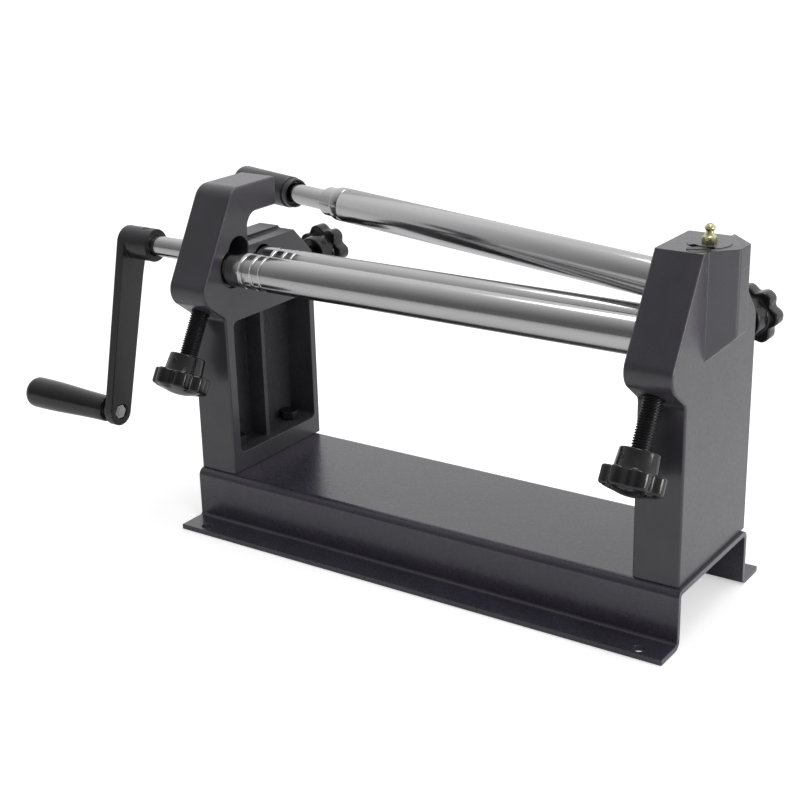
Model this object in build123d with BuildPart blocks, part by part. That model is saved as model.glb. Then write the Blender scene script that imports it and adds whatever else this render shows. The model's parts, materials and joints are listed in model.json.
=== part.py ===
from build123d import *
import os
from math import atan2, cos, degrees, hypot, radians, sin, tan

# Bench slip roll with three rolls. X runs along the rolls away from the crank, +Y is the
# side that the top roll swings out to, Z is up, and the origin is the middle of the
# footprint on the bench. Millimetres throughout.

# ---------------------------------------------------------------- driving dimensions
# folded steel base
base_length = 460.0
base_width = 128.0            # across the raised deck
base_height = 48.0
flange_width = 26.5
plate = 4.5
bend_radius = 7.0             # outside radius of the four bends
flange_hole = 9.0
flange_hole_from_end = 22.0
flange_hole_from_edge = 8.0

# two end castings
casting_thickness = 38.0
left_casting_overhang = 0.2    # past the end of the base
right_casting_setback = 2.8    # short of the other end
column_front_y = -58.5
column_rear_y = 65.0
edge_break = 1.2
nose_corner = (-88.5, 211.6)
nose_radius = 16.0
throat_z = 189.0              # where the nose meets the column
throat_radius = 7.0
right_top_height = 34.3       # above the closed top roll's axis
right_top_front_y = -38.5
right_top_rear_y = 20.0
right_shoulder_z = 279.0      # top of the rear slope
right_slope_foot_z = 228.0
slope_radius = 15.0
arm_thickness = 24.5          # over the seat of the top roll
left_top_front_y = -39.7
left_top_radius = 16.0
arm_end_y = 17.3
block_drop = 11.6             # closed top roll's axis to the top of the block
block_step = 2.7              # the inner strip of the block lies this much lower
block_strip = 16.4            # its width from the inner face
block_rear_y = 38.5
block_slope_foot_z = 222.2

# pocket cast into each column
pocket_depth = 27.0
pocket_front_y = -48.5
pocket_rear_y = 57.0
pocket_floor_z = 64.7
pocket_top_z = 184.4
pocket_radius = 5.0
rib_y = 0.0
rib_width = 5.0
rib_height = 18.0

# rolls
roll_radius = 15.0
journal_radius = 9.2
roll_end_gap = 0.6            # roll shoulder to casting
bend_axis = (-44.0, 230.7)    # (y, z) of the bending roll, run right down
drive_axis = (-4.5, 226.5)    # crank-driven roll, run right down
top_axis = (-9.0, 260.3)      # top roll when it is closed
bend_angle = 30.0             # slide of the bending roll, from the vertical
bend_travel = 14.6
pinch_travel = 3.8
slot_run_out = 1.0            # slot left over at the end of a travel
groove_widths = (5.0, 4.0, 3.0)
groove_places = (18.7, 30.2, 38.9)   # from the left casting

# bearings that slide in the castings
slide_gap = 0.2
bend_bearing_radius = 12.3
pinch_bearing_radius = 11.3
bearing_length = 30.8
slot_depth = 33.0
bore_gap = 0.05
recess_radius = 16.5          # round recess behind the end of the bending roll
recess_depth = 3.0
crank_clearance = 1.3         # round the crank shaft where it leaves the left casting

# adjusting screws, knobs and wedges
screw_radius = 7.8
thread_gap = 0.1
screw_offset = 2.6            # screws stand this far towards the crank from the casting middle
pad_distance = 11.0           # bending roll axis to the tip of its screw
front_hub_distance = 80.5     # bending roll axis to the face of the knob hub
hub_radius = 15.6
hub_length = 15.0
knob_radius = 24.0
knob_thickness = 14.0
knob_dome = 4.5
knob_lobes = 7
lobe_radius = 6.4
lobe_depth = 3.6
wedge_z = 209.3
wedge_bore = 10.0
wedge_angle = 16.0
wedge_front_y = -20.0
wedge_rear_y = 24.0
pinch_pad_drop = 10.0         # drive roll axis to the ramp under it
rear_hub_y = 89.0
nut_length = 13.0

# swinging top roll
pivot_inset = 28.8            # from the inner face of the right casting
swing_open = 14.25            # degrees from closed to the open rest position
post_radius = 15.6
post_bottom_drop = 10.1       # roll axis to the bottom of the post
post_stand = 0.4              # post top above the casting
top_body_start = 36.0         # from the pivot along the roll
top_body_gap = 1.0            # closed roll body to the left casting
collar_radius = 13.0
collar_length = 15.8
journal_tail = 12.0           # journal past the pivot
ring_groove = 8.2             # radius left under the retaining ring
ring_radius = 9.9
ring_thickness = 1.2
ring_inset = 0.8
handle_clear = 24.8           # closed, handle to the outside of the left casting
handle_length = 82.5
handle_radius = (14.5, 15.2)  # at the neck and at the free end
handle_neck_radius = 13.4
handle_neck_length = 7.0
handle_wall = 14.5            # closed end of the handle
handle_mouth_radius = 11.2
seat_gap = 0.2
window_top_gap = 1.0
window_reach = (10.0, 20.2)   # window past the roll axis, towards the nose and the rear
boss_reach = 16.8             # out from the casting
boss_flat = (-14.0, 4.0)      # y limits of the outer flat of the swivel boss
boss_foot_z = 214.0
nipple_spigot = 3.0
nipple_hex = 5.6
key_offset = (0.5, -19.5)     # from the pivot
key_radius = 8.5
key_depth = 6.0

# crank
crank_clear = 85.8            # left casting to the crank hub
crank_hub_length = 37.0
crank_arm_thickness = 11.0
crank_hub_radius = 15.0
crank_eye_radius = 13.0
crank_length = 158.0
crank_angle = 13.5            # the arm hangs this far forward of straight down
grip_clear = 5.0              # shoulder that shows between crank and grip
grip_length = 100.0
grip_radius = 14.6
grip_neck_radius = 12.2
bolt_radius = 4.0

# bolts that hold the castings down
casting_bolt_radius = 5.0
casting_bolt_y = (-32.0, 43.0)
bolt_head_height = 8.0
nut_height = 8.0
nut_across_corners = 18.0

# ---------------------------------------------------------------- derived places
os.makedirs("parts", exist_ok=True)
left_inner_x = casting_thickness - base_length / 2 - left_casting_overhang
right_inner_x = base_length / 2 - right_casting_setback - casting_thickness
flange_y = base_width / 2 + flange_width
flange_hole_y = flange_y - flange_hole_from_edge
left_outer_x = left_inner_x - casting_thickness
right_outer_x = right_inner_x + casting_thickness
sides = {"left": (left_inner_x, -1), "right": (right_inner_x, 1)}
mid_x = {side: inner + out * casting_thickness / 2 for side, (inner, out) in sides.items()}
screw_x = {side: x - screw_offset for side, x in mid_x.items()}
bend_dir = (sin(radians(bend_angle)), cos(radians(bend_angle)))
wedge_slope = tan(radians(wedge_angle))
wedge_travel = pinch_travel / wedge_slope
right_top_z = top_axis[1] + right_top_height
block_top_z = top_axis[1] - block_drop
block_step_x = left_inner_x - block_strip
post_top_z = right_top_z + post_stand
post_bottom_z = top_axis[1] - post_bottom_drop
pivot = Vector(right_inner_x + pivot_inset, top_axis[0], top_axis[1])
key_centre = (pivot.X + key_offset[0], pivot.Y + key_offset[1])
crank_hub_x = left_outer_x - crank_clear
crank_outer_x = crank_hub_x - crank_hub_length
swing = radians(swing_open)
roll_line = Plane(origin=pivot, x_dir=(-cos(swing), sin(swing), 0), z_dir=(-sin(swing), -cos(swing), 0))


def shaft_plane(axis, x=0.0):
    """Plane through a roll's axis: its own x runs along +X and its y is up."""
    return Plane(origin=(x, axis[0], axis[1]), x_dir=(1, 0, 0), z_dir=(0, -1, 0))


def turn(plane, outline):
    """Spin a half outline of (distance along, radius) points about the plane's x axis."""
    with BuildSketch(plane) as profile:
        with BuildLine():
            Polyline((outline[0][0], 0), *outline, (outline[-1][0], 0), close=True)
        make_face()
    revolve(profile.sketch, axis=Axis(plane.origin, plane.x_dir))


def corner(sketch, point):
    """The sketch's corner nearest to a point."""
    return sketch.vertices().sort_by_distance(point)[0]


def save(builder, name):
    builder.part.label = name
    export_step(builder.part, f"parts/{name}.step")


# ---------------------------------------------------------------- folded base
half_width = base_width / 2
with BuildPart() as base_channel:
    with BuildSketch(Plane.YZ.offset(-base_length / 2)) as hat:
        with BuildLine():
            Polyline(
                (-flange_y, 0), (-flange_y, plate), (-half_width, plate), (-half_width, base_height),
                (half_width, base_height), (half_width, plate), (flange_y, plate), (flange_y, 0),
                (half_width - plate, 0), (half_width - plate, base_height - plate),
                (plate - half_width, base_height - plate), (plate - half_width, 0), close=True,
            )
        make_face()
        for side in (-1, 1):
            for outer, inner in (
                ((half_width, base_height), (half_width - plate, base_height - plate)),
                ((half_width - plate, 0), (half_width, plate)),
            ):
                fillet(corner(hat, (side * outer[0], outer[1])), bend_radius)
                fillet(corner(hat, (side * inner[0], inner[1])), bend_radius - plate)
    extrude(amount=base_length)
    with Locations(Plane.XY.offset(plate)):
        with GridLocations(base_length - 2 * flange_hole_from_end, 2 * flange_hole_y, 2, 2):
            Hole(radius=flange_hole / 2, depth=plate)
    with Locations(*[(x, y, base_height) for x in mid_x.values() for y in casting_bolt_y]):
        Hole(radius=casting_bolt_radius + 0.5, depth=plate)
save(base_channel, "base_channel")


# ---------------------------------------------------------------- castings
def nose_points():
    """Outline up the front of a column, from the deck to the corner of the nose."""
    return [(column_front_y, base_height), (column_front_y, throat_z), nose_corner]


def column_pocket(inner_x, out):
    """Hollow the column from its inner face and leave the upright rib in it."""
    with BuildSketch(Plane.YZ.offset(inner_x)) as hollow:
        with BuildLine():
            Polyline(
                (pocket_front_y, pocket_floor_z), (pocket_rear_y, pocket_floor_z),
                (pocket_rear_y, pocket_top_z), (pocket_front_y, pocket_top_z), close=True,
            )
        make_face()
        fillet(hollow.vertices(), pocket_radius)
    extrude(hollow.sketch, amount=out * pocket_depth, mode=Mode.SUBTRACT)
    rib_z = (pocket_floor_z + pocket_top_z) / 2
    with BuildSketch(Plane.YZ.offset(inner_x + out * pocket_depth)) as rib:
        with Locations((rib_y, rib_z)):
            Rectangle(rib_width, pocket_top_z - pocket_floor_z)
    extrude(rib.sketch, amount=-out * rib_height)


def front_line(side):
    """Plane square to a front screw, at the bending roll, facing down along the screw."""
    return Plane(
        origin=(screw_x[side], *bend_axis), x_dir=(1, 0, 0), z_dir=(0, -bend_dir[0], -bend_dir[1])
    )


def roll_seats(side, inner_x, out):
    """Slots, screw hole and wedge bore for the two lower rolls of one casting."""
    with BuildSketch(Plane.YZ.offset(inner_x)) as slots:
        reach = (bend_travel + slot_run_out) / 2
        centre = (bend_axis[0] + bend_dir[0] * reach, bend_axis[1] + bend_dir[1] * reach)
        with Locations(centre):
            SlotCenterToCenter(
                2 * reach, 2 * (bend_bearing_radius + slide_gap), rotation=90 - bend_angle
            )
        reach = (pinch_travel + slot_run_out) / 2
        with Locations((drive_axis[0], drive_axis[1] + reach)):
            SlotCenterToCenter(2 * reach, 2 * (pinch_bearing_radius + slide_gap), rotation=90)
    extrude(slots.sketch, amount=out * slot_depth, mode=Mode.SUBTRACT)
    with BuildSketch(Plane.YZ.offset(inner_x)) as recess:
        with Locations(bend_axis):
            Circle(recess_radius)
    extrude(recess.sketch, amount=out * recess_depth, mode=Mode.SUBTRACT)
    with BuildSketch(front_line(side)) as tapped:
        Circle(screw_radius + thread_gap)
    extrude(tapped.sketch, amount=front_hub_distance, mode=Mode.SUBTRACT)
    with BuildSketch(Plane.XZ.offset(-column_rear_y)) as bore:
        with Locations((screw_x[side], wedge_z)):
            Circle(wedge_bore + thread_gap)
    bore_length = column_rear_y - wedge_front_y + wedge_travel + 1
    extrude(bore.sketch, amount=bore_length, mode=Mode.SUBTRACT)


def hold_down_holes(side):
    with Locations(*[(mid_x[side], y, pocket_floor_z) for y in casting_bolt_y]):
        Hole(radius=casting_bolt_radius + 0.5, depth=pocket_floor_z - base_height)


with BuildPart() as left_casting:
    with BuildSketch(Plane.YZ.offset(left_outer_x)) as outline:
        arm_under_z = top_axis[1] + collar_radius + seat_gap
        left_top_z = arm_under_z + arm_thickness
        throat_y = top_axis[0] - collar_radius - seat_gap
        with BuildLine():
            Polyline(
                *nose_points(), (left_top_front_y, left_top_z), (arm_end_y, left_top_z),
                (arm_end_y, arm_under_z), (throat_y, arm_under_z), (throat_y, block_top_z),
                (block_rear_y, block_top_z), (column_rear_y, block_slope_foot_z),
                (column_rear_y, base_height), close=True,
            )
        make_face()
        fillet(corner(outline, nose_corner), nose_radius)
        fillet(corner(outline, (column_front_y, throat_z)), throat_radius)
        fillet(corner(outline, (left_top_front_y, left_top_z)), left_top_radius)
        fillet(corner(outline, (throat_y, arm_under_z)), collar_radius)
    extrude(amount=casting_thickness)
    rims = left_casting.faces().filter_by(Axis.X).edges()
    chamfer(rims.filter_by(lambda e: e.center().Z > base_height + 1), edge_break)
    with BuildSketch(Plane.YZ.offset(left_inner_x)):
        with Locations(((throat_y + column_rear_y) / 2, block_top_z)):
            Rectangle(column_rear_y - throat_y, 2 * block_step)
    extrude(amount=block_step_x - left_inner_x, mode=Mode.SUBTRACT)
    column_pocket(left_inner_x, -1)
    roll_seats("left", left_inner_x, -1)
    with BuildSketch(Plane.YZ.offset(left_outer_x)):
        with Locations((drive_axis[0], drive_axis[1] + pinch_travel / 2)):
            SlotCenterToCenter(pinch_travel, 2 * (journal_radius + crank_clearance), rotation=90)
    extrude(amount=casting_thickness, mode=Mode.SUBTRACT)
    hold_down_holes("left")
save(left_casting, "left_casting")

with BuildPart() as right_casting:
    with BuildSketch(Plane.YZ.offset(right_inner_x)) as outline:
        with BuildLine():
            Polyline(
                *nose_points(), (right_top_front_y, right_top_z), (right_top_rear_y, right_top_z),
                (right_top_rear_y, right_shoulder_z), (column_rear_y, right_slope_foot_z),
                (column_rear_y, base_height), close=True,
            )
        make_face()
        fillet(corner(outline, nose_corner), nose_radius)
        fillet(corner(outline, (column_front_y, throat_z)), throat_radius)
        fillet(corner(outline, (column_rear_y, right_slope_foot_z)), slope_radius)
    extrude(amount=casting_thickness)
    rims = right_casting.faces().filter_by(Axis.X).edges()
    chamfer(rims.filter_by(lambda e: base_height + 1 < e.center().Z < right_top_z - 1), edge_break)
    boss_x = right_outer_x + boss_reach
    with BuildSketch(Plane.XY.offset(right_top_z)) as boss:
        with BuildLine():
            Polyline(
                (right_outer_x - 5, boss_flat[0] - boss_reach - 5),
                (boss_x, boss_flat[0]), (boss_x, boss_flat[1]),
                (right_outer_x - 5, boss_flat[1] + boss_reach + 5), close=True,
            )
        make_face()
        fillet(corner(boss, (boss_x, boss_flat[0])), 4)
        fillet(corner(boss, (boss_x, boss_flat[1])), 4)
    extrude(amount=-(right_top_z - boss_foot_z))
    with BuildSketch(Plane.XZ.offset(column_rear_y)):
        with BuildLine():
            Polyline(
                (right_outer_x, boss_foot_z), (boss_x + 1, boss_foot_z + boss_reach + 1),
                (boss_x + 1, boss_foot_z - 1), (right_outer_x, boss_foot_z - 1), close=True,
            )
        make_face()
    extrude(amount=-2 * column_rear_y, mode=Mode.SUBTRACT)
    with BuildSketch(Plane.XY.offset(right_top_z)):
        with Locations((pivot.X, pivot.Y)):
            Circle(post_radius + bore_gap)
    extrude(amount=-(right_top_z - post_bottom_z), mode=Mode.SUBTRACT)
    with BuildSketch(Plane.XY.offset(right_top_z)):
        with Locations(key_centre):
            Circle(key_radius + bore_gap)
    extrude(amount=-key_depth, mode=Mode.SUBTRACT)
    with BuildSketch(Plane.YZ.offset(right_inner_x)) as window:
        with Locations((top_axis[0] + (window_reach[1] - window_reach[0]) / 2, top_axis[1])):
            RectangleRounded(sum(window_reach), 2 * (journal_radius + window_top_gap), 4)
    extrude(amount=pivot_inset, mode=Mode.SUBTRACT)
    column_pocket(right_inner_x, 1)
    roll_seats("right", right_inner_x, 1)
    hold_down_holes("right")
save(right_casting, "right_casting")

# bolts through the pocket floors, with nuts under the deck
bolt_spots = [(x, y) for x in mid_x.values() for y in casting_bolt_y]
under_deck = base_height - plate
with BuildPart() as casting_bolts:
    with BuildSketch(Plane.XY.offset(pocket_floor_z)):
        with Locations(*bolt_spots):
            RegularPolygon(radius=nut_across_corners / 2, side_count=6, rotation=90)
    extrude(amount=bolt_head_height)
    with BuildSketch(Plane.XY.offset(pocket_floor_z)):
        with Locations(*bolt_spots):
            Circle(casting_bolt_radius)
    extrude(amount=-(pocket_floor_z - under_deck + nut_height + 3))
save(casting_bolts, "casting_bolts")

with BuildPart() as casting_nuts:
    with BuildSketch(Plane.XY.offset(under_deck)):
        with Locations(*bolt_spots):
            RegularPolygon(radius=nut_across_corners / 2, side_count=6, rotation=90)
            Circle(casting_bolt_radius + bore_gap, mode=Mode.SUBTRACT)
    extrude(amount=-nut_height)
save(casting_nuts, "casting_nuts")


# ---------------------------------------------------------------- lower rolls
def lower_roll(axis, left_end, right_end):
    """A roll with turned journals and three wire grooves near the crank end."""
    body = (left_inner_x + roll_end_gap, right_inner_x - roll_end_gap)
    grooves = []
    for place, width in zip(groove_places, groove_widths):
        centre = left_inner_x + place
        for across, depth in ((-0.5, 0), (-0.25, 0.42), (0.25, 0.42), (0.5, 0)):
            grooves.append((centre + across * width, roll_radius - depth * width))
    turn(shaft_plane(axis), [
        (left_end, journal_radius), (body[0], journal_radius), (body[0], roll_radius), *grooves,
        (body[1], roll_radius), (body[1], journal_radius), (right_end, journal_radius),
    ])


bearing_start = {side: inner + out * 1.0 for side, (inner, out) in sides.items()}
bearing_end = {side: bearing_start[side] + sides[side][1] * bearing_length for side in sides}

with BuildPart() as bend_roll:
    lower_roll(bend_axis, bearing_end["left"], bearing_end["right"])
save(bend_roll, "bend_roll")

with BuildPart() as drive_roll:
    lower_roll(drive_axis, crank_outer_x + 1, bearing_end["right"])
save(drive_roll, "drive_roll")


# ---------------------------------------------------------------- sliding bearings
def bearing(side, axis, radius, flat):
    """A bush bored for the journal, with a flat where the screw or ramp bears on it."""
    with BuildSketch(Plane.YZ.offset(bearing_start[side])) as section:
        with Locations(axis):
            Circle(radius)
            Circle(journal_radius + bore_gap, mode=Mode.SUBTRACT)
        add(flat, mode=Mode.SUBTRACT)
    extrude(section.sketch, amount=bearing_end[side] - bearing_start[side])


def flat_below(axis, distance, tilt):
    """Half plane below a line at a distance from the axis, tilted up towards +Y."""
    size = 4 * bend_bearing_radius
    with BuildSketch(mode=Mode.PRIVATE) as half:
        with Locations(Location((axis[0], axis[1], 0), (0, 0, tilt))):
            with Locations((0, -distance - size / 2)):
                Rectangle(size, size)
    return half.sketch


with BuildPart() as bend_bearings:
    for side in sides:
        bearing(side, bend_axis, bend_bearing_radius, flat_below(bend_axis, pad_distance, -bend_angle))
save(bend_bearings, "bend_bearings")

with BuildPart() as pinch_bearings:
    ramp_drop = pinch_pad_drop * cos(radians(wedge_angle))
    for side in sides:
        bearing(side, drive_axis, pinch_bearing_radius, flat_below(drive_axis, ramp_drop, wedge_angle))
save(pinch_bearings, "pinch_bearings")

# ---------------------------------------------------------------- wedges and their nuts
ramp_clearance = 0.05
ramp_z = drive_axis[1] - pinch_pad_drop - ramp_clearance
ramp_ends = [(y, ramp_z + (y - drive_axis[0]) * wedge_slope) for y in (wedge_front_y - 1, wedge_rear_y)]
for side in sides:
    with BuildPart() as wedge:
        with BuildSketch(Plane.XZ.offset(-wedge_rear_y)):
            with Locations((screw_x[side], wedge_z)):
                Circle(wedge_bore - bore_gap)
        extrude(amount=wedge_rear_y - wedge_front_y)
        with BuildSketch(Plane.YZ.offset(screw_x[side] - 2 * wedge_bore)):
            with BuildLine():
                Polyline(*ramp_ends, (wedge_front_y - 1, ramp_ends[1][1]), close=True)
            make_face()
        extrude(amount=4 * wedge_bore, mode=Mode.SUBTRACT)
    save(wedge, f"wedge_{side}")

with BuildPart() as rear_nuts:
    with BuildSketch(Plane.XZ.offset(-column_rear_y)):
        with Locations(*[(x, wedge_z) for x in screw_x.values()]):
            Circle(wedge_bore + thread_gap - bore_gap)
            Circle(screw_radius + thread_gap, mode=Mode.SUBTRACT)
    extrude(amount=nut_length)
save(rear_nuts, "rear_nuts")


# ---------------------------------------------------------------- screws and knobs
def star_knob(plane, hub_at):
    """Lobed knob with a round hub on the screw side and a domed face outside."""
    rim_at = hub_at + hub_length
    with BuildSketch(plane.offset(hub_at)) as hub_foot:
        Circle(hub_radius - 0.6)
    with BuildSketch(plane.offset(rim_at)) as hub_top:
        Circle(hub_radius + 0.6)
    loft([hub_foot.sketch, hub_top.sketch])
    with BuildSketch(plane.offset(rim_at)) as star:
        Circle(knob_radius - lobe_depth)
        with PolarLocations(knob_radius - lobe_radius, knob_lobes):
            Circle(lobe_radius)
    extrude(star.sketch, amount=knob_thickness)
    rim_top = rim_at + knob_thickness
    with BuildSketch(plane.offset(rim_top)) as dome_foot:
        Circle(knob_radius - lobe_depth)
    with BuildSketch(plane.offset(rim_top + knob_dome)) as dome_top:
        Circle(knob_radius * 0.4)
    loft([dome_foot.sketch, dome_top.sketch])
    with BuildSketch(plane.offset(hub_at)) as bore:
        Circle(screw_radius + bore_gap)
    extrude(bore.sketch, amount=hub_length + knob_thickness * 0.6, mode=Mode.SUBTRACT)


for side in sides:
    rear_line = Plane(origin=(screw_x[side], 0, wedge_z), x_dir=(1, 0, 0), z_dir=(0, 1, 0))
    for name, line, tip_at, hub_at in (
        ("front", front_line(side), pad_distance + ramp_clearance, front_hub_distance),
        ("rear", rear_line, wedge_rear_y + ramp_clearance, rear_hub_y),
    ):
        screw_end = hub_at + hub_length + knob_thickness * 0.6 - bore_gap
        with BuildPart() as screw:
            with BuildSketch(line.offset(tip_at)):
                Circle(screw_radius)
            extrude(amount=screw_end - tip_at)
        save(screw, f"{name}_screw_{side}")
        with BuildPart() as knob:
            star_knob(line, hub_at)
        save(knob, f"{name}_knob_{side}")

# ---------------------------------------------------------------- swinging top roll
across_roll = Plane(origin=roll_line.origin, x_dir=(0, 0, 1), z_dir=roll_line.x_dir)
top_body_end = pivot.X - left_inner_x - top_body_gap
collar_end = top_body_end + collar_length
handle_start = pivot.X - left_outer_x + handle_clear
handle_end = handle_start + handle_length
top_journal_end = handle_end - handle_wall
ring_at = ring_inset - journal_tail
with BuildPart() as top_roll:
    turn(roll_line, [
        (-journal_tail, journal_radius), (ring_at, journal_radius), (ring_at, ring_groove),
        (ring_at + ring_thickness + 0.1, ring_groove), (ring_at + ring_thickness + 0.1, journal_radius),
        (top_body_start, journal_radius),
        (top_body_start, roll_radius), (top_body_end, roll_radius),
        (top_body_end, collar_radius - 1), (top_body_end + 2, collar_radius - 1),
        (top_body_end + 2, collar_radius), (collar_end, collar_radius),
        (collar_end, journal_radius), (top_journal_end, journal_radius),
    ])
save(top_roll, "top_roll")

with BuildPart() as retaining_ring:
    with BuildSketch(across_roll.offset(ring_at + 0.05)):
        Circle(ring_radius)
        Circle(ring_groove + bore_gap, mode=Mode.SUBTRACT)
    extrude(amount=ring_thickness)
save(retaining_ring, "retaining_ring")

with BuildPart() as swivel_post:
    with BuildSketch(Plane.XY.offset(post_bottom_z + bore_gap)):
        with Locations((pivot.X, pivot.Y)):
            Circle(post_radius)
    extrude(amount=post_top_z - post_bottom_z - bore_gap)
    with BuildSketch(across_roll):
        Circle(journal_radius + bore_gap)
    extrude(amount=2 * post_radius, both=True, mode=Mode.SUBTRACT)
    with BuildSketch(across_roll.offset(ring_at + ring_thickness + seat_gap)):
        Circle(ring_radius + 0.6)
    extrude(amount=-post_radius, mode=Mode.SUBTRACT)
    with BuildSketch(Plane.XY.offset(post_top_z)):
        with Locations((pivot.X, pivot.Y)):
            Circle(nipple_spigot + bore_gap)
    extrude(amount=-9, mode=Mode.SUBTRACT)
    key_distance = hypot(key_centre[0] - pivot.X, key_centre[1] - pivot.Y)
    key_bearing = degrees(atan2(key_centre[1] - pivot.Y, key_centre[0] - pivot.X))
    key_half = 32.0
    notch_start = key_bearing - key_half - swing_open
    with BuildSketch(Plane(
        origin=(pivot.X, pivot.Y, post_top_z),
        x_dir=(cos(radians(notch_start)), sin(radians(notch_start)), 0),
        z_dir=(sin(radians(notch_start)), -cos(radians(notch_start)), 0),
    )):
        inner = key_distance - key_radius - 0.4
        notch_depth = key_depth + post_stand + 0.2
        with Locations(((inner + post_radius + 1) / 2, -notch_depth / 2)):
            Rectangle(post_radius + 1 - inner, notch_depth)
    revolve(
        axis=Axis((pivot.X, pivot.Y, 0), (0, 0, 1)),
        revolution_arc=2 * key_half + swing_open + 6, mode=Mode.SUBTRACT,
    )
save(swivel_post, "swivel_post")

with BuildPart() as swivel_key:
    with BuildSketch(Plane.XY.offset(right_top_z - key_depth + bore_gap)):
        with Locations(key_centre):
            Circle(key_radius)
    extrude(amount=key_depth)
    with BuildSketch(Plane.XY.offset(right_top_z + bore_gap)):
        with Locations(Location((key_centre[0], key_centre[1], 0), (0, 0, 25))):
            Rectangle(2 * key_radius + 1, 1.8)
    extrude(amount=-2.2, mode=Mode.SUBTRACT)
save(swivel_key, "swivel_key")

with BuildPart() as grease_nipple:
    with BuildSketch(Plane.XY.offset(post_top_z + bore_gap)):
        with Locations((pivot.X, pivot.Y)):
            RegularPolygon(radius=nipple_hex, side_count=6)
    extrude(amount=5.5)
    with BuildSketch(Plane.XY.offset(post_top_z - 8)):
        with Locations((pivot.X, pivot.Y)):
            Circle(nipple_spigot)
    extrude(amount=9)
    turn(Plane(origin=(pivot.X, pivot.Y, post_top_z), x_dir=(0, 0, 1), z_dir=(1, 0, 0)), [
        (5, 2.9), (9.2, 2.9), (10.0, 3.9), (12.0, 3.9), (13.9, 2.0)
    ])
save(grease_nipple, "grease_nipple")

with BuildPart() as release_handle:
    neck_end = handle_start + handle_neck_length
    turn(roll_line, [
        (handle_start, handle_neck_radius), (neck_end, handle_neck_radius),
        (neck_end, handle_radius[0]), (handle_end - 3, handle_radius[1]),
        (handle_end, handle_radius[1] - 3),
    ])
    with BuildSketch(across_roll.offset(handle_start)):
        Circle(journal_radius + bore_gap)
    extrude(amount=top_journal_end - handle_start + 0.3, mode=Mode.SUBTRACT)
    with BuildSketch(across_roll.offset(handle_start)):
        Circle(handle_mouth_radius)
    extrude(amount=handle_neck_length, mode=Mode.SUBTRACT)
save(release_handle, "release_handle")

# ---------------------------------------------------------------- crank
arm_dir = (0, -sin(radians(crank_angle)), -cos(radians(crank_angle)))
arm_plane = Plane(origin=(crank_outer_x, *drive_axis), x_dir=arm_dir, z_dir=(1, 0, 0))
bolt_recess = 5.0
set_screw_inset = 11.0
with BuildPart() as crank_arm:
    with BuildSketch(arm_plane):
        Circle(crank_hub_radius)
        with Locations((crank_length, 0)):
            Circle(crank_eye_radius)
        make_hull()
    extrude(amount=crank_arm_thickness)
    with BuildSketch(arm_plane):
        Circle(crank_hub_radius)
    extrude(amount=crank_hub_length)
    chamfer(crank_arm.faces().sort_by(Axis.X)[0].edges(), 2.5)
    with BuildSketch(arm_plane):
        Circle(journal_radius + bore_gap)
    extrude(amount=crank_hub_length, mode=Mode.SUBTRACT)
    with BuildSketch(arm_plane):
        with Locations((crank_length, 0)):
            Circle(bolt_radius + bore_gap)
    extrude(amount=crank_arm_thickness, mode=Mode.SUBTRACT)
    with BuildSketch(arm_plane.offset(crank_arm_thickness)):
        with Locations((crank_length, 0)):
            Circle(7.5)
    extrude(amount=-bolt_recess, mode=Mode.SUBTRACT)
    with BuildSketch(Plane.XY.offset(drive_axis[1])):
        with Locations((crank_hub_x - set_screw_inset, drive_axis[0])):
            Circle(3 + bore_gap)
    extrude(amount=crank_hub_radius, mode=Mode.SUBTRACT)
save(crank_arm, "crank_arm")

with BuildPart() as crank_set_screw:
    with BuildSketch(Plane.XY.offset(drive_axis[1] + journal_radius + bore_gap)):
        with Locations((crank_hub_x - set_screw_inset, drive_axis[0])):
            Circle(3)
    extrude(amount=crank_hub_radius - journal_radius - 0.8)
save(crank_set_screw, "crank_set_screw")

eye = arm_plane.origin + arm_plane.x_dir * crank_length
eye_axis = (eye.Y, eye.Z)
grip_line = shaft_plane(eye_axis)
grip_start_x = crank_outer_x - grip_clear
grip_end_x = grip_start_x - grip_length
shoulder_radius = 7.6
head_radius = 6.5
head_x = grip_end_x + 17
spindle_radius = bolt_radius + 0.5
nut_x = crank_outer_x + crank_arm_thickness - bolt_recess + bore_gap
with BuildPart() as handle_bolt:
    turn(grip_line, [
        (head_x - 5, head_radius), (head_x, head_radius), (head_x, spindle_radius),
        (grip_start_x + 0.3, spindle_radius), (grip_start_x + 0.3, shoulder_radius),
        (crank_outer_x - bore_gap, shoulder_radius), (crank_outer_x - bore_gap, bolt_radius),
        (nut_x + 4.5, bolt_radius),
    ])
save(handle_bolt, "handle_bolt")

with BuildPart() as handle_nut:
    with BuildSketch(Plane.YZ.offset(nut_x)):
        with Locations(eye_axis):
            RegularPolygon(radius=6.9, side_count=6)
            Circle(bolt_radius + bore_gap, mode=Mode.SUBTRACT)
    extrude(amount=4)
save(handle_nut, "handle_nut")

with BuildPart() as crank_grip:
    turn(grip_line, [
        (grip_end_x, grip_radius - 6), (grip_end_x + 3, grip_radius - 1.6),
        (grip_end_x + 12, grip_radius), (grip_start_x - 1.5, grip_neck_radius),
        (grip_start_x, grip_neck_radius - 1.5),
    ])
    with BuildSketch(Plane.YZ.offset(grip_end_x)):
        with Locations(eye_axis):
            Circle(spindle_radius + 0.3)
    extrude(amount=grip_length, mode=Mode.SUBTRACT)
    with BuildSketch(Plane.YZ.offset(grip_end_x)):
        with Locations(eye_axis):
            Circle(head_radius + 0.5)
    extrude(amount=head_x + 0.3 - grip_end_x, mode=Mode.SUBTRACT)
save(crank_grip, "crank_grip")
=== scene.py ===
import json
from math import cos, pi, radians, sin, sqrt

import bmesh
import bpy
from mathutils import Matrix, Vector


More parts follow.
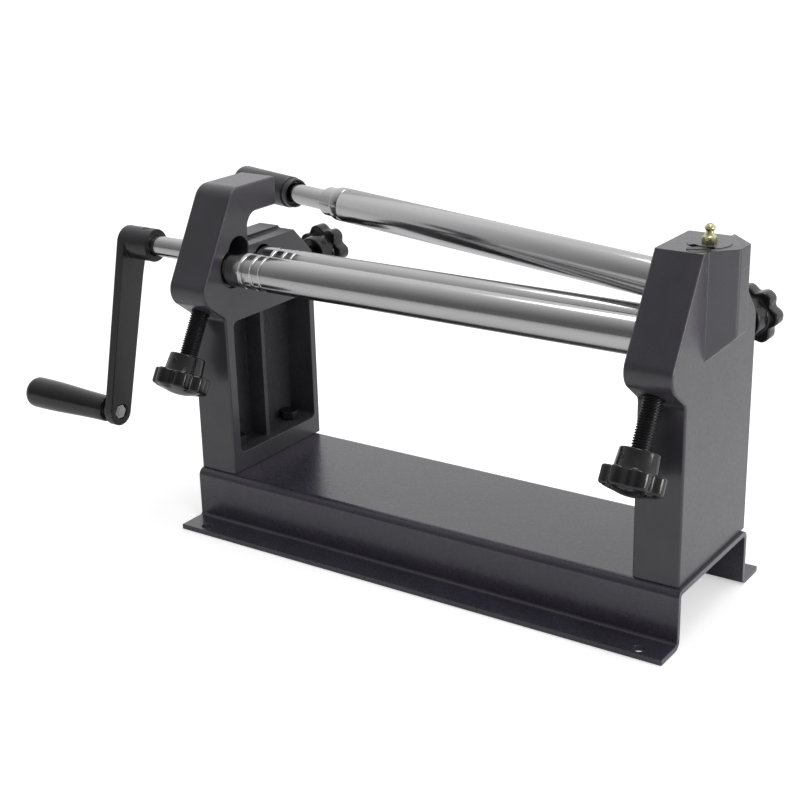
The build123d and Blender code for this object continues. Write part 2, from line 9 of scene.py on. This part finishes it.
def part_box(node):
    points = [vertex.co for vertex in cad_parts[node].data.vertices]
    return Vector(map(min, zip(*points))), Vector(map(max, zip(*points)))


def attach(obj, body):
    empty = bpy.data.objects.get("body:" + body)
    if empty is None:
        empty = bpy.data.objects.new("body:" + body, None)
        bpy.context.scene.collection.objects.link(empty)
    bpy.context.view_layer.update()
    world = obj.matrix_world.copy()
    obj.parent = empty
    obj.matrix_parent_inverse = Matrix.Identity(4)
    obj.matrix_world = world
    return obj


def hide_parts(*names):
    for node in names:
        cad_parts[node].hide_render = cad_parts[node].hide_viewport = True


# Looks of the bench slip roll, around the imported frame. Metres, in the frame's own axes.
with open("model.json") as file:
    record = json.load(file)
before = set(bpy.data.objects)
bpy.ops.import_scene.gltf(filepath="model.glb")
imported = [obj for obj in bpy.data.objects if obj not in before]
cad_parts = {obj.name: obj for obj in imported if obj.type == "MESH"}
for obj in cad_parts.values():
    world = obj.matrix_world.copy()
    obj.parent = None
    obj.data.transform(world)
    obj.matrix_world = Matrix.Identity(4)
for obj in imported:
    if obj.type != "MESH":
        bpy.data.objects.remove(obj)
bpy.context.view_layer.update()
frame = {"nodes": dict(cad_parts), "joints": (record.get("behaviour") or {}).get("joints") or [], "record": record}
nodes = frame["nodes"]
joints = {joint["name"]: joint for joint in frame["joints"]}
mm = 0.001


# ---------------------------------------------------------------- node materials
def new_material(name, constants):
    """A material with one Principled shader, and values set on the shader's own sockets."""
    material = bpy.data.materials.new(name)
    material.use_nodes = True
    shader = material.node_tree.nodes["Principled BSDF"]
    for socket, value in constants.items():
        shader.inputs[socket].default_value = value
    return material, shader


def add_node(tree, kind, inputs, **settings):
    """A node with its settings, and each input linked where the value is a socket."""
    node = tree.nodes.new(kind)
    for key, value in settings.items():
        setattr(node, key, value)
    for key, value in inputs.items():
        if isinstance(value, bpy.types.NodeSocket):
            tree.links.new(value, node.inputs[key])
        else:
            node.inputs[key].default_value = value
    return node


def stretched_place(tree, stretch=(1, 1, 1), turn=0.0):
    """Object coordinates in metres, turned about Z and then stretched along each axis."""
    place = add_node(tree, "ShaderNodeTexCoord", {}).outputs["Object"]
    turned = add_node(tree, "ShaderNodeMapping", {"Vector": place, "Rotation": (0, 0, turn)})
    return add_node(tree, "ShaderNodeMapping", {"Vector": turned.outputs[0], "Scale": stretch}).outputs[0]


def noise(tree, place, scale, detail=2.0, roughness=0.5):
    inputs = {"Vector": place, "Scale": scale, "Detail": detail, "Roughness": roughness}
    return add_node(tree, "ShaderNodeTexNoise", inputs).outputs["Fac"]


def spread(tree, value, low, high, new_low, new_high):
    inputs = {"Value": value, "From Min": low, "From Max": high, "To Min": new_low, "To Max": new_high}
    return add_node(tree, "ShaderNodeMapRange", inputs).outputs["Result"]


def blend_colours(tree, share, first, second):
    ramp = add_node(tree, "ShaderNodeValToRGB", {"Fac": share})
    ramp.color_ramp.elements[0].color = (*first, 1)
    ramp.color_ramp.elements[1].color = (*second, 1)
    return ramp.outputs["Color"]


def bump(tree, height, strength, distance, under=None):
    inputs = {"Height": height, "Strength": strength, "Distance": distance}
    if under is not None:
        inputs["Normal"] = under
    return add_node(tree, "ShaderNodeBump", inputs).outputs["Normal"]


def inside_box(tree, low, high):
    """1 inside a box of object coordinates and 0 outside it; X counts without its sign."""
    place = add_node(tree, "ShaderNodeTexCoord", {}).outputs["Object"]
    axes = add_node(tree, "ShaderNodeSeparateXYZ", {"Vector": place}).outputs
    across = add_node(tree, "ShaderNodeMath", {0: axes["X"]}, operation="ABSOLUTE").outputs[0]
    inside = 1.0
    for value, least, most in zip((across, axes["Y"], axes["Z"]), low, high):
        middle = {0: value, 1: (least + most) / 2, 2: (most - least) / 2}
        near = add_node(tree, "ShaderNodeMath", middle, operation="COMPARE").outputs[0]
        inside = add_node(tree, "ShaderNodeMath", {0: near, 1: inside}, operation="MULTIPLY").outputs[0]
    return inside


def textured_paint(name, colour, roughness, pebble, depth, coat=0.0, rough_box=None):
    """Sprayed paint with a fine pebbled skin, and as-cast iron under it inside the rough box."""
    material, shader = new_material(name, {
        "Metallic": 0.0, "IOR": 1.5, "Coat Weight": coat, "Coat Roughness": 0.16,
    })
    tree = material.node_tree
    place = stretched_place(tree)
    cloud = noise(tree, place, 38.0, 4.0)
    grain = noise(tree, place, 1 / pebble, 3.0, 0.55)
    lighter = tuple(channel * 1.2 for channel in colour)
    darker = tuple(channel * 0.84 for channel in colour)
    mottled = add_node(tree, "ShaderNodeMath", {0: cloud, 1: grain}, operation="ADD").outputs[0]
    tint = blend_colours(tree, spread(tree, mottled, 0.75, 1.25, 0, 1), darker, lighter)
    tree.links.new(tint, shader.inputs["Base Color"])
    patches = noise(tree, place, 0.4 / pebble, 2.0)
    sheen = spread(tree, patches, 0.3, 0.7, roughness - 0.05, roughness + 0.07)
    tree.links.new(sheen, shader.inputs["Roughness"])
    coarse = noise(tree, place, 0.22 / pebble, 2.0)
    skin = bump(tree, grain, 0.55, depth, bump(tree, coarse, 0.25, depth * 2))
    if rough_box:
        mask = inside_box(tree, *rough_box)
        lumps = noise(tree, place, 420.0, 5.0, 0.65)
        skin = bump(tree, lumps, mask, 0.0014, skin)
    tree.links.new(skin, shader.inputs["Normal"])
    tree.links.new(skin, shader.inputs["Coat Normal"])
    return material


def turned_steel(name, turn=0.0):
    """Bright turned steel: fine rings round the axis, faint smears along it."""
    material, shader = new_material(name, {"Metallic": 1.0, "IOR": 2.6})
    tree = material.node_tree
    rings_place = stretched_place(tree, (1, 0.02, 0.02), turn)
    smear_place = stretched_place(tree, (0.12, 1, 1), turn)
    tool_rings = noise(tree, rings_place, 2600.0, 3.0, 0.7)
    smears = noise(tree, smear_place, 150.0, 3.0)
    tint = blend_colours(tree, smears, (0.49, 0.483, 0.49), (0.57, 0.563, 0.565))
    tree.links.new(tint, shader.inputs["Base Color"])
    mixed = add_node(tree, "ShaderNodeMath", {0: tool_rings, 1: smears}, operation="ADD").outputs[0]
    tree.links.new(spread(tree, mixed, 0.7, 1.3, 0.13, 0.2), shader.inputs["Roughness"])
    tree.links.new(bump(tree, tool_rings, 0.05, 0.00003), shader.inputs["Normal"])
    return material


def moulded_plastic(name, colour, roughness):
    """Glossy black phenolic: near smooth, with a slight orange peel."""
    material, shader = new_material(name, {"Metallic": 0.0, "IOR": 1.55})
    tree = material.node_tree
    place = stretched_place(tree)
    peel = noise(tree, place, 260.0, 2.0)
    dust = noise(tree, place, 1500.0, 3.0)
    tint = blend_colours(tree, dust, colour, tuple(channel * 1.5 + 0.004 for channel in colour))
    tree.links.new(tint, shader.inputs["Base Color"])
    gloss = spread(tree, peel, 0.3, 0.7, roughness - 0.05, roughness + 0.09)
    tree.links.new(gloss, shader.inputs["Roughness"])
    fine = bump(tree, dust, 0.05, 0.0001)
    tree.links.new(bump(tree, peel, 0.22, 0.0003, fine), shader.inputs["Normal"])
    return material


def worked_metal(name, dark, bright, roughness, grain=900.0, metallic=1.0, depth=0.00008):
    """Plain machined or plated metal with a patchy tone and fine tool marks."""
    material, shader = new_material(name, {"Metallic": metallic, "IOR": 1.6})
    tree = material.node_tree
    place = stretched_place(tree)
    patches = noise(tree, place, 120.0, 4.0)
    marks = noise(tree, place, grain, 2.0)
    tree.links.new(blend_colours(tree, patches, dark, bright), shader.inputs["Base Color"])
    dullness = spread(tree, patches, 0.3, 0.7, roughness - 0.07, roughness + 0.1)
    tree.links.new(dullness, shader.inputs["Roughness"])
    tree.links.new(bump(tree, marks, 0.3, depth), shader.inputs["Normal"])
    return material


swing = radians(joints["top_roll_swing"]["range_deg"][1])
finishes = {
    "deck_paint": textured_paint("deck_paint", (0.040, 0.036, 0.053), 0.30, 0.0012, 0.00012, 0.6),
    "casting_paint": textured_paint(
        "casting_paint", (0.042, 0.039, 0.049), 0.36, 0.0008, 0.00008, 0.4,
        ((0.1934, -0.0486, 0.0640), (0.2196, 0.0571, 0.1845)),
    ),
    "crank_paint": textured_paint("crank_paint", (0.020, 0.020, 0.023), 0.34, 0.0008, 0.0001, 0.15),
    "roll_steel": turned_steel("roll_steel"),
    "knob_plastic": moulded_plastic("knob_plastic", (0.004, 0.004, 0.0045), 0.14),
    "black_oxide": worked_metal(
        "black_oxide", (0.020, 0.020, 0.022), (0.045, 0.044, 0.048), 0.36, metallic=0.75,
    ),
    "zinc": worked_metal("zinc", (0.50, 0.50, 0.49), (0.66, 0.66, 0.63), 0.34),
    "bronze": worked_metal("bronze", (0.30, 0.22, 0.11), (0.44, 0.33, 0.17), 0.38),
    "nipple_brass": worked_metal("nipple_brass", (0.52, 0.52, 0.24), (0.80, 0.80, 0.50), 0.24),
}
swung_steel = turned_steel("swung_steel", swing)
handle_steel = worked_metal("handle_steel", (0.055, 0.055, 0.06), (0.11, 0.11, 0.115), 0.30, metallic=0.85)
for subpart in frame["record"]["subparts"]:
    nodes[subpart["node"]].material_slots[0].material = finishes[subpart["material_slot"]]


# ---------------------------------------------------------------- mesh helpers
def mesh_piece(name, shape, crease=34.0):
    """An object from a bmesh, smooth except along its sharp edges."""
    bmesh.ops.recalc_face_normals(shape, faces=shape.faces)
    for face in shape.faces:
        face.smooth = True
    for edge in shape.edges:
        edge.smooth = len(edge.link_faces) != 2 or edge.calc_face_angle() < radians(crease)
    data = bpy.data.meshes.new(name)
    shape.to_mesh(data)
    shape.free()
    piece = bpy.data.objects.new(name, data)
    bpy.context.scene.collection.objects.link(piece)
    return piece


def square_axes(along):
    """Two directions square to a line; the first is as near as can be to +X, or to +Z."""
    guide = Vector((1, 0, 0)) if abs(along.x) < 0.5 else Vector((0, 0, 1))
    side = (guide - along * guide.dot(along)).normalized()
    return side, along.cross(side)


def turned(name, start, along, outline, steps=96, bored=False):
    """A skin through rings about a line. Each outline entry is (distance, radius), and a radius
    may be a function of the angle. A bored skin closes on itself, and others get flat ends."""
    side, up = square_axes(along)
    shape = bmesh.new()
    loops = []
    for distance, radius in outline:
        loop = []
        for step in range(steps):
            angle = 2 * pi * step / steps
            reach = radius(angle) if callable(radius) else radius
            spoke = side * cos(angle) + up * sin(angle)
            loop.append(shape.verts.new(start + along * distance + spoke * reach))
        loops.append(loop)
    pairs = list(zip(loops, loops[1:]))
    if bored:
        pairs.append((loops[-1], loops[0]))
    for near, far in pairs:
        for step in range(steps):
            after = (step + 1) % steps
            shape.faces.new((near[step], near[after], far[after], far[step]))
    if not bored:
        shape.faces.new(loops[0])
        shape.faces.new(loops[-1])
    return mesh_piece(name, shape)


def arc(centre, radius, first, last, count=6):
    """Points of an outline on an arc: the centre is (distance, radius), the angles in degrees."""
    points = []
    for step in range(count + 1):
        angle = radians(first + (last - first) * step / count)
        points.append((centre[0] + radius * cos(angle), centre[1] + radius * sin(angle)))
    return points


def dress(piece, material, slot, body, *replaced):
    """Give a new piece its material and its body, and hide the nodes that it stands for. The slot argument is not
    used.
    """
    piece.data.materials.append(material)
    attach(piece, body)
    if replaced:
        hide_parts(*replaced)
    return piece


def soften_edges(node, width, segments=3, angle=25.0):
    """Round a CAD node's edges with modifiers, and shade it smooth between its sharp edges."""
    piece = nodes[node]
    weld = piece.modifiers.new("weld", "WELD")
    weld.merge_threshold = 0.002 * mm
    flat = piece.modifiers.new("flat_faces", "DECIMATE")
    flat.decimate_type = "DISSOLVE"
    flat.angle_limit = radians(0.3)
    edges = piece.modifiers.new("rounded_edges", "BEVEL")
    edges.width = width
    edges.segments = segments
    edges.limit_method = "ANGLE"
    edges.angle_limit = radians(angle)
    edges.use_clamp_overlap = False
    shading = piece.modifiers.new("shading", "NODES")
    shading.node_group = smooth_shading
    flatter = piece.modifiers.new("flat_face_normals", "WEIGHTED_NORMAL")
    flatter.weight = 100
    flatter.keep_sharp = True


def shading_group():
    """Geometry nodes that drop the imported normals and shade smooth up to an edge angle."""
    group = bpy.data.node_groups.new("smooth_shading", "GeometryNodeTree")
    group.interface.new_socket("Geometry", in_out="INPUT", socket_type="NodeSocketGeometry")
    group.interface.new_socket("Geometry", in_out="OUTPUT", socket_type="NodeSocketGeometry")
    start = group.nodes.new("NodeGroupInput")
    end = group.nodes.new("NodeGroupOutput")
    angle = group.nodes.new("GeometryNodeInputMeshEdgeAngle")
    sharp = group.nodes.new("FunctionNodeCompare")
    sharp.data_type = "FLOAT"
    sharp.operation = "GREATER_THAN"
    sharp.inputs["B"].default_value = radians(32)
    group.links.new(angle.outputs["Unsigned Angle"], sharp.inputs["A"])
    normals = group.nodes.new("GeometryNodeSetMeshNormal")
    normals.mode = "SHARPNESS"
    normals.inputs["Remove Custom"].default_value = True
    normals.inputs["Face Sharpness"].default_value = False
    group.links.new(start.outputs[0], normals.inputs["Mesh"])
    group.links.new(sharp.outputs["Result"], normals.inputs["Edge Sharpness"])
    group.links.new(normals.outputs[0], end.inputs[0])
    return group


smooth_shading = shading_group()
for node, width in (
    ("base_channel", 0.5 * mm), ("left_casting", 0.6 * mm), ("right_casting", 0.6 * mm),
    ("crank_arm", 0.9 * mm), ("casting_bolts", 0.4 * mm), ("casting_nuts", 0.4 * mm),
    ("swivel_post", 0.3 * mm), ("swivel_key", 0.35 * mm), ("rear_nuts", 0.3 * mm),
    ("handle_nut", 0.3 * mm), ("bend_bearings", 0.4 * mm), ("pinch_bearings", 0.4 * mm),
    ("wedge_left", 0.3 * mm), ("wedge_right", 0.3 * mm), ("crank_set_screw", 0.2 * mm),
    ("retaining_ring", 0.15 * mm), ("handle_bolt", 0.3 * mm),
):
    soften_edges(node, width)

# ---------------------------------------------------------------- rolls
roll_radius = 15.0 * mm
journal_radius = 9.2 * mm
left_inner_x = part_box("left_casting")[1].x
right_inner_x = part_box("right_casting")[0].x
groove_centres = [left_inner_x + place * mm for place in (18.7, 30.2, 38.9)]
groove_widths = [width * mm for width in (5.0, 4.0, 3.0)]
roll_end_gap = 0.6 * mm
x_axis = Vector((1, 0, 0))


def grooved_roll(name, node, joint, body):
    """A lower roll with round wire grooves and small radii on its shoulders."""
    start = Vector(joints[joint]["pos_m"])
    low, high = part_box(node)
    ease = 1.2 * mm
    body_start = left_inner_x + roll_end_gap
    body_end = right_inner_x - roll_end_gap
    outline = [
        (low.x, journal_radius - ease), (low.x + ease, journal_radius), (body_start, journal_radius),
        (body_start, roll_radius - ease),
    ]
    outline += arc((body_start + ease, roll_radius - ease), ease, 180, 90, 4)
    for centre, width in zip(groove_centres, groove_widths):
        lip = width * 0.07
        outline.append((centre - width / 2, roll_radius))
        outline += [
            (centre + width / 2 * x / 8, roll_radius - lip - (width * 0.40 - lip) * sqrt(max(0, 1 - (x / 7) ** 2)))
            for x in range(-7, 8)
        ]
        outline.append((centre + width / 2, roll_radius))
    outline += arc((body_end - ease, roll_radius - ease), ease, 90, 0, 4)
    outline += [(body_end, journal_radius), (high.x - ease, journal_radius)]
    outline += [(high.x, journal_radius - ease)]
    piece = turned(name, Vector((0, start.y, start.z)), x_axis, outline, 128)
    return dress(piece, finishes["roll_steel"], "roll_steel", body, node)


grooved_roll("bend_roll_turned", "bend_roll", "bend_roll_spin", "bend_roll")
grooved_roll("drive_roll_turned", "drive_roll", "crank_turn", "drive_shaft")

pivot = Vector(joints["top_roll_spin"]["pos_m"])
roll_line = Vector(joints["top_roll_spin"]["axis"]).normalized()
body_span = (36.0 * mm, pivot.x - left_inner_x - 1.0 * mm)
collar_end = body_span[1] + 15.8 * mm
handle_start = pivot.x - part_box("left_casting")[0].x + 24.8 * mm
handle_end = handle_start + 82.5 * mm


def top_roll():
    """The swinging roll: body, undercut, collar that sits in the left casting, and its journals."""
    ease = 1.6 * mm
    collar = 12.9 * mm
    undercut = 12.0 * mm
    top_groove = body_span[1] - 11.0 * mm
    outline = [
        (-11.9 * mm, journal_radius - 0.8 * mm), (-11.2 * mm, journal_radius), (-11.2 * mm, 8.2 * mm),
        (-9.9 * mm, 8.2 * mm), (-9.9 * mm, journal_radius), (body_span[0], journal_radius),
    ]
    outline += arc((body_span[0] + ease, roll_radius - ease), ease, 180, 90, 4)
    outline += [(top_groove - 0.7 * mm, roll_radius), (top_groove, roll_radius - 0.45 * mm)]
    outline += [(top_groove + 0.7 * mm, roll_radius)]
    outline += arc((body_span[1] - ease, roll_radius - ease), ease, 90, 0, 4)
    outline += [(body_span[1], undercut), (body_span[1] + 1.2 * mm, undercut)]
    outline += [(body_span[1] + 1.5 * mm, collar), (collar_end - 1.0 * mm, collar)]
    outline += [(collar_end, collar - 1.0 * mm), (collar_end, journal_radius)]
    outline += [(handle_end - 15.0 * mm, journal_radius)]
    piece = turned("top_roll_turned", pivot, roll_line, outline, 128)
    return dress(piece, swung_steel, "roll_steel", "top_roll", "top_roll")


def release_handle():
    """The dark handle on the end of the swinging roll: mouth collar, neck and round-ended body."""
    neck = 13.3 * mm
    step = handle_start + 7.0 * mm
    end_radius = 15.1 * mm
    nose = 4.5 * mm
    outline = [(handle_start + 6.5 * mm, journal_radius + 0.15 * mm), (handle_start + 6.4 * mm, 10.9 * mm)]
    outline += [(handle_start + 0.9 * mm, 11.2 * mm)]
    outline += arc((handle_start + 1.1 * mm, neck - 1.1 * mm), 1.1 * mm, 180, 90, 4)
    outline += [(step - 1.4 * mm, neck), (step - 0.9 * mm, neck - 0.7 * mm)]
    outline += [(step - 0.2 * mm, neck - 0.7 * mm)]
    outline += arc((step + 1.0 * mm, 14.4 * mm - 1.0 * mm), 1.0 * mm, 180, 90, 4)
    outline += arc((handle_end - nose, end_radius - nose), nose, 90, 0, 8)
    outline += [(handle_end, 2.0 * mm)]
    outline += [(handle_end - 14.0 * mm, 2.0 * mm), (handle_end - 14.0 * mm, journal_radius + 0.15 * mm)]
    piece = turned("release_handle_turned", pivot, roll_line, outline, 112, bored=True)
    return dress(piece, handle_steel, "black_oxide", "top_roll", "release_handle")


top_roll()
release_handle()

# ---------------------------------------------------------------- adjusting screws and knobs
pitch = 2.0 * mm
screw_radius = 7.8 * mm
root_radius = 6.7 * mm
hub_length = 15.0 * mm
disc = 14.0 * mm
dome = 4.5 * mm
lobes = 7
tip_radius = 24.0 * mm
valley_depth = 4.2 * mm


def threaded_screw(name, start, along, first, last, thread_from, thread_to):
    """A plain core with a raised helical ridge along the threaded stretch."""
    outline = [(first, root_radius - 0.8 * mm), (first + 0.8 * mm, root_radius), (thread_from, root_radius)]
    outline += [(thread_to, root_radius), (thread_to + 0.1 * mm, screw_radius)]
    outline += [(last, screw_radius)]
    piece = turned("core", start, along, outline, 48)
    shape = bmesh.new()
    shape.from_mesh(piece.data)
    bpy.data.objects.remove(piece)
    side, up = square_axes(along)
    steps = 36
    count = int((thread_to - thread_from - pitch) / pitch * steps)
    section = ((-0.44, 0.0), (-0.07, 1.0), (0.07, 1.0), (0.44, 0.0))
    previous = None
    for step in range(count + 1):
        angle = 2 * pi * step / steps
        fade = min(1.0, step / steps, (count - step) / steps)
        spoke = side * cos(angle) + up * sin(angle)
        row = []
        for shift, rise in section:
            distance = thread_from + pitch * (0.5 + step / steps + shift)
            base = root_radius - 0.15 * mm
            row.append(shape.verts.new(
                start + along * distance + spoke * (base + (screw_radius - base) * rise * (0.2 + 0.8 * fade))
            ))
        if previous:
            for low in range(4):
                high = (low + 1) % 4
                shape.faces.new((previous[low], previous[high], row[high], row[low]))
        else:
            shape.faces.new(row)
        previous = row
    shape.faces.new(previous)
    return mesh_piece(name, shape, 30)


def star(inset):
    """Radius round the lobed rim, at an inset from the widest outline."""
    def radius(angle):
        wave = 0.5 - 0.5 * cos(lobes * angle)
        return tip_radius - inset - valley_depth * wave ** 1.6
    return radius


def star_knob(name, start, along):
    """A lobed knob: tapered hub, scalloped disc with rounded rims, and a domed face."""
    rim = hub_length
    back = rim + disc
    foot = 15.2 * mm
    top = 16.2 * mm
    outline = [(9.0 * mm, screw_radius + 0.05 * mm), (0.4 * mm, screw_radius + 0.05 * mm)]
    outline += [(0.0, screw_radius + 0.6 * mm)]
    outline += arc((1.3 * mm, foot - 1.3 * mm), 1.3 * mm, 180, 90, 4)
    outline += [(rim - 1.2 * mm, top), (rim - 0.4 * mm, top + 0.4 * mm), (rim + 0.1 * mm, top + 1.3 * mm)]
    for sweep in range(0, 91, 18):
        angle = radians(sweep)
        edge = 1.8 * mm
        outline.append((rim + edge * (1 - sin(angle)), star(edge * (1 - cos(angle)))))
    hub_rings = 11
    outline = outline[:hub_rings] + sorted(outline[hub_rings:], key=lambda ring: ring[0])
    for sweep in range(0, 91, 18):
        angle = radians(sweep)
        edge = 2.4 * mm
        outline.append((back - edge * (1 - sin(angle)), star(edge * (1 - cos(angle)))))
    steps = 7
    for step in range(1, steps + 1):
        share = step / steps
        flat = (tip_radius - 5.0 * mm) * (1 - share) + 1.5 * mm * share
        lobed = star(2.4 * mm)
        keep = max(0.0, 1 - 2.6 * share)
        outline.append((
            back + dome * sin(share * pi / 2),
            lambda angle, flat=flat, keep=keep, lobed=lobed, share=share:
                keep * lobed(angle) * (1 - 0.1 * share) + (1 - keep) * flat,
        ))
    piece = turned(name, start, along, outline, lobes * 20)
    return piece


def hub_set_screw(name, start, along, distance, bearing_deg):
    """A small socket screw sunk in the side of a knob's hub."""
    side, up = square_axes(along)
    spoke = side * cos(radians(bearing_deg)) + up * sin(radians(bearing_deg))
    outline = [(-3.5 * mm, 2.3 * mm), (-0.35 * mm, 2.3 * mm), (0.0, 2.0 * mm), (0.0, 1.25 * mm)]
    outline += [(-1.6 * mm, 1.15 * mm), (-1.7 * mm, 0.05 * mm)]
    seat = start + along * distance + spoke * 15.9 * mm
    return turned(name, seat, spoke, outline, 18)


bend_direction = Vector(joints["front_left_screw_turn"]["axis"]).normalized()
front_hub = 80.5 * mm
front_tip = 11.05 * mm
rear_hub_y = 89.0 * mm
rear_tip_y = 24.05 * mm
adjusters = {
    "front_left": (joints["front_left_screw_turn"]["pos_m"], -bend_direction, 0.0, front_tip, front_hub, 88),
    "front_right": (joints["front_right_screw_turn"]["pos_m"], -bend_direction, 0.0, front_tip, front_hub, 116),
    "rear_left": (joints["rear_left_screw_turn"]["pos_m"], Vector((0, 1, 0)), 0.065, rear_tip_y, rear_hub_y, 314),
    "rear_right": (joints["rear_right_screw_turn"]["pos_m"], Vector((0, 1, 0)), 0.065, rear_tip_y, rear_hub_y, 314),
}
for name, (place, along, offset, tip, hub, bearing_deg) in adjusters.items():
    end, side_name = name.split("_")
    body = f"{name}_adjuster"
    start = Vector(place) - along * offset
    screw_node = f"{end}_screw_{side_name}"
    knob_node = f"{end}_knob_{side_name}"
    screw = threaded_screw(
        f"{screw_node}_threaded", start, along, tip, hub + 8.9 * mm, tip + 2 * mm, hub + 0.5 * mm
    )
    dress(screw, finishes["black_oxide"], "black_oxide", body, screw_node)
    knob = star_knob(f"{knob_node}_moulded", start + along * hub, along)
    dress(knob, finishes["knob_plastic"], "knob_plastic", body, knob_node)
    set_screw = hub_set_screw(f"{knob_node}_set_screw", start, along, hub + 7.5 * mm, bearing_deg)
    dress(set_screw, finishes["black_oxide"], "black_oxide", body)


# ---------------------------------------------------------------- crank grip and nipple
def grip():
    """The turned grip: a full round end that tapers to the shoulder at the crank."""
    low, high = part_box("crank_grip")
    centre = (low + high) / 2
    start = Vector((high.x, centre.y, centre.z))
    length = high.x - low.x
    full = 14.6 * mm
    neck = 12.1 * mm
    bore = 4.85 * mm
    counterbore = 7.0 * mm
    outline = [(0.2 * mm, bore), (0.0, neck - 2.2 * mm)]
    outline += arc((1.6 * mm, neck - 1.6 * mm), 1.6 * mm, 180, 90, 5)
    for step in range(1, 19):
        share = step / 18
        swell = 0.5 - 0.5 * cos(pi * min(1.0, share * 1.08))
        outline.append((1.6 * mm + (length - 9.6 * mm) * share, neck + (full - neck) * swell))
    outline += arc((length - 8.0 * mm, full - 8.0 * mm), 8.0 * mm, 90, 8, 10)[1:]
    outline += [(length, counterbore + 0.3 * mm), (length - 0.6 * mm, counterbore)]
    outline += [(length - 17 * mm, counterbore)]
    outline += [(length - 17 * mm, bore)]
    piece = turned("crank_grip_turned", start, -x_axis, outline, 112, bored=True)
    return dress(piece, finishes["knob_plastic"], "knob_plastic", "crank_grip", "crank_grip")


def grease_nipple():
    """A hexagon foot, a cone and a rounded head."""
    low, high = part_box("grease_nipple")
    foot = Vector(((low.x + high.x) / 2, (low.y + high.y) / 2, nodes_top("swivel_post")))
    height = high.z - foot.z

    def hexagon(reach):
        def radius(angle):
            apart = (angle + pi / 6) % (pi / 3) - pi / 6
            return reach * cos(pi / 6) / cos(apart)
        return radius

    outline = [(-7.9 * mm, 2.9 * mm), (0.05 * mm, 2.9 * mm), (0.06 * mm, hexagon(5.3 * mm))]
    outline += [(0.5 * mm, hexagon(5.6 * mm)), (4.3 * mm, hexagon(5.6 * mm)), (4.9 * mm, 4.9 * mm)]
    outline += [(5.3 * mm, 4.3 * mm), (6.6 * mm, 3.5 * mm), (8.0 * mm, 2.75 * mm), (8.7 * mm, 2.6 * mm)]
    outline += [(9.3 * mm, 2.9 * mm), (10.0 * mm, 3.6 * mm), (10.8 * mm, 3.9 * mm), (11.6 * mm, 3.8 * mm)]
    outline += [(12.5 * mm, 3.2 * mm), (height - 0.5 * mm, 2.3 * mm), (height, 1.8 * mm)]
    outline += [(height, 1.0 * mm), (height - 0.8 * mm, 0.8 * mm)]
    piece = turned("grease_nipple_turned", foot, Vector((0, 0, 1)), outline, 60)
    return dress(piece, finishes["nipple_brass"], "nipple_brass", "swivel", "grease_nipple")


def nodes_top(node):
    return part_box(node)[1].z


grip()
grease_nipple()

# ---------------------------------------------------------------- stage, light and camera
floor_shape = bmesh.new()
bmesh.ops.create_grid(floor_shape, x_segments=1, y_segments=1, size=12.0)
floor = mesh_piece("floor", floor_shape)
floor.location.z = -0.0003
floor_material, floor_shader = new_material("floor", {"Roughness": 0.8, "Specular IOR Level": 0.0})
tree = floor_material.node_tree
paper = blend_colours(tree, noise(tree, stretched_place(tree), 6.0), (0.90, 0.90, 0.90), (0.93, 0.93, 0.93))
tree.links.new(paper, floor_shader.inputs["Base Color"])
light_path = add_node(tree, "ShaderNodeLightPath", {})
seen = add_node(
    tree, "ShaderNodeMath", {0: light_path.outputs["Is Camera Ray"], 1: 0.5}, operation="MULTIPLY"
).outputs[0]
floor_shader.inputs["Emission Color"].default_value = (1, 1, 1, 1)
tree.links.new(seen, floor_shader.inputs["Emission Strength"])
floor.data.materials.append(floor_material)

world = bpy.data.worlds.new("studio")
bpy.context.scene.world = world
world.use_nodes = True
tree = world.node_tree
direction = add_node(tree, "ShaderNodeTexCoord", {}).outputs["Generated"]
parts = add_node(tree, "ShaderNodeSeparateXYZ", {"Vector": direction}).outputs
studio = spread(tree, parts["Y"], -0.85, 0.4, 0.16, 0.9)
light_path = add_node(tree, "ShaderNodeLightPath", {})
camera_white = add_node(
    tree, "ShaderNodeMath", {0: studio, 1: light_path.outputs["Is Camera Ray"]}, operation="MAXIMUM"
).outputs[0]
background = tree.nodes["Background"]
background.inputs["Color"].default_value = (1, 1, 1, 1)
tree.links.new(camera_white, background.inputs["Strength"])


def soft_lamp(name, place, aim, width, height, power):
    lamp = bpy.data.lights.new(name, "AREA")
    lamp.shape = "RECTANGLE"
    lamp.size = width
    lamp.size_y = height
    lamp.energy = power
    holder = bpy.data.objects.new(name, lamp)
    bpy.context.scene.collection.objects.link(holder)
    holder.location = place
    holder.rotation_euler = (Vector(aim) - Vector(place)).to_track_quat("-Z", "Y").to_euler()


machine_middle = (0.0, 0.0, 0.12)
soft_lamp("overhead", (0.1, 0.1, 1.5), machine_middle, 1.5, 0.35, 7.0)
soft_lamp("right_side", (1.5, 0.02, 0.32), machine_middle, 0.5, 0.45, 6.0)

camera_place = Vector((0.636916, -1.004296, 0.568175))
azimuth, elevation, roll = radians(34.603), radians(19.998), radians(-1.492)
camera_data = bpy.data.cameras.new("photo_camera")
camera_data.sensor_width = 36.0
camera_data.lens = 69.5589
camera_data.clip_start = 0.05
camera = bpy.data.objects.new("photo_camera", camera_data)
camera.location = camera_place
look = Matrix.Rotation(azimuth, 3, "Z") @ Matrix.Rotation(pi / 2 - elevation, 3, "X")
camera.rotation_euler = (look @ Matrix.Rotation(roll, 3, "Z")).to_euler()
bpy.context.scene.collection.objects.link(camera)
bpy.context.scene.camera = camera

bpy.context.scene.view_settings.view_transform = "Standard"
